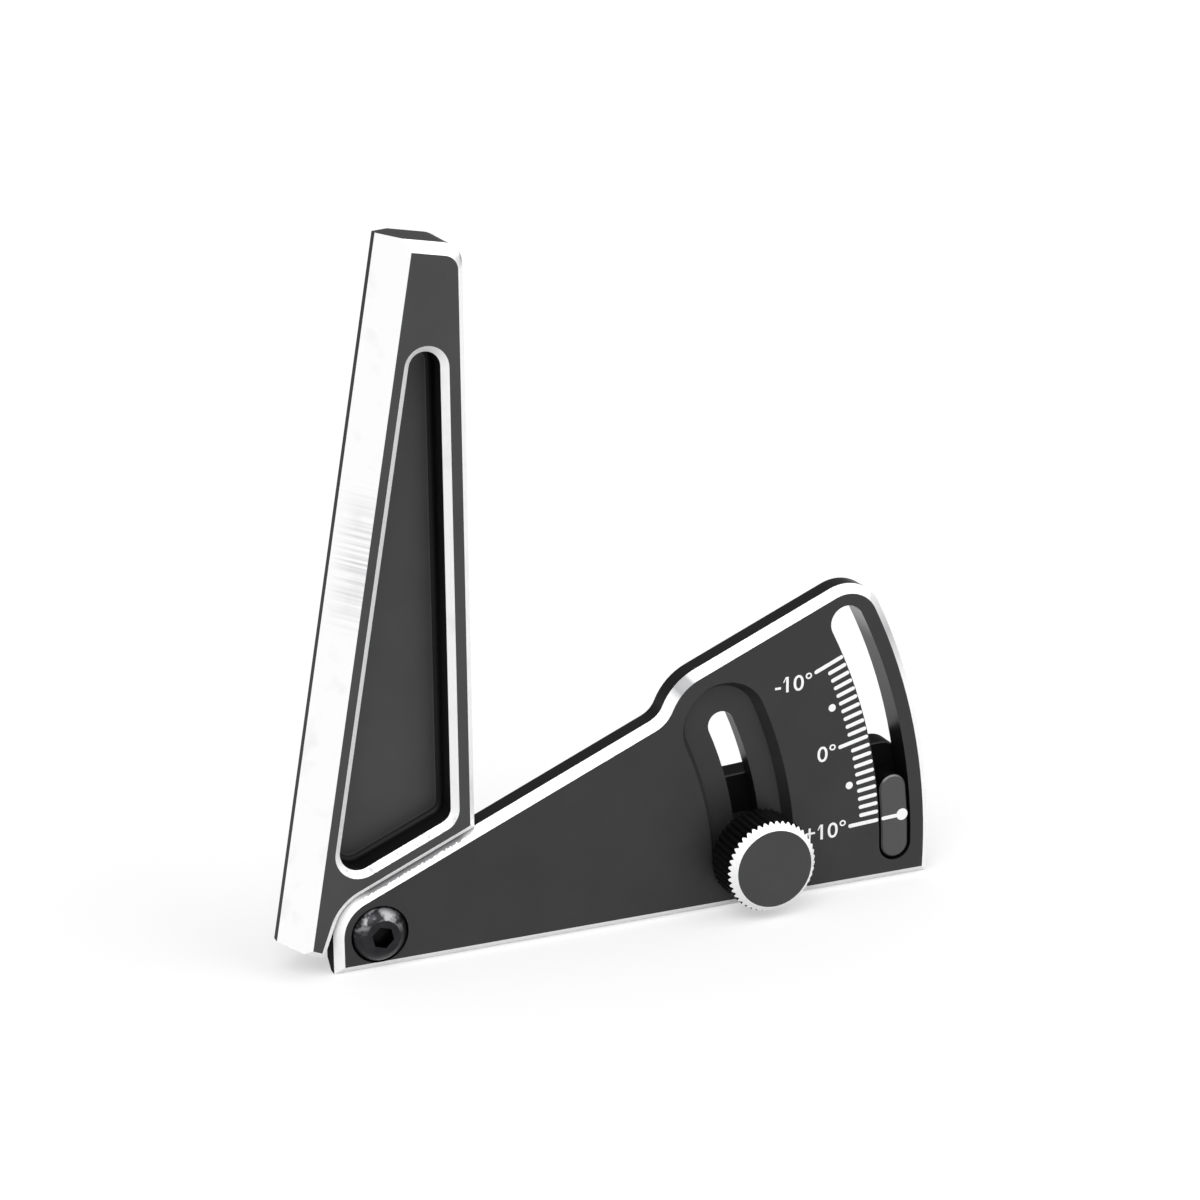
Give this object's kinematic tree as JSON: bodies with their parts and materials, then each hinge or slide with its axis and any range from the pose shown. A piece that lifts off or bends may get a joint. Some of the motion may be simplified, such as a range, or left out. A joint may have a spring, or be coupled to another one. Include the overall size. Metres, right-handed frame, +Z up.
{
  "type": "camber caster gauge",
  "caption": "Small camber and caster gauge for model-car wheels: upright arm pivoting on a flat scale plate, with a pointer in a curved window and a knurled clamp knob.",
  "frame": {"origin": "on the flat strip of the plate's lower edge, straight below the pivot axis", "axes": "+Z up, with the plate standing on its lower edge. +X along that edge from the pivot to the scale. +Y from the face with the scale and the knob to the back."},
  "size_m": [0.0695, 0.0111, 0.0718],
  "materials": {
    "plate_anodised": "satin black anodised, with bright milled chamfers",
    "arm_anodised": "satin black anodised, with bright milled bevels",
    "knob_anodised": "satin black anodised, knurled",
    "screw_steel": "black oxide",
    "bush_bronze": "plain turned",
    "shim_plastic": "plain black",
    "stud_steel": "plain threaded steel",
    "washer_steel": "black oxide"
  },
  "bodies": {
    "plate": {"scale_plate": "plate_anodised"},
    "arm": {"gauge_arm": "arm_anodised", "pivot_screw": "screw_steel", "pivot_bush": "bush_bronze", "pivot_shim": "shim_plastic", "clamp_washer": "washer_steel", "clamp_shim": "shim_plastic"},
    "knob": {"clamp_knob": "knob_anodised", "clamp_stud": "stud_steel"}
  },
  "joints": [
    {"name": "arm_pivot", "type": "hinge", "parent": "plate", "child": "arm", "pos_m": [0, 0, 0.00373], "axis": [0, -1, 0], "range_deg": [0, 20]},
    {"name": "knob_turn", "type": "hinge", "parent": "arm", "child": "knob", "pos_m": [0.03983, 0, 0.00562], "axis": [0, -1, 0], "range_deg": [0, 360]}
  ]
}
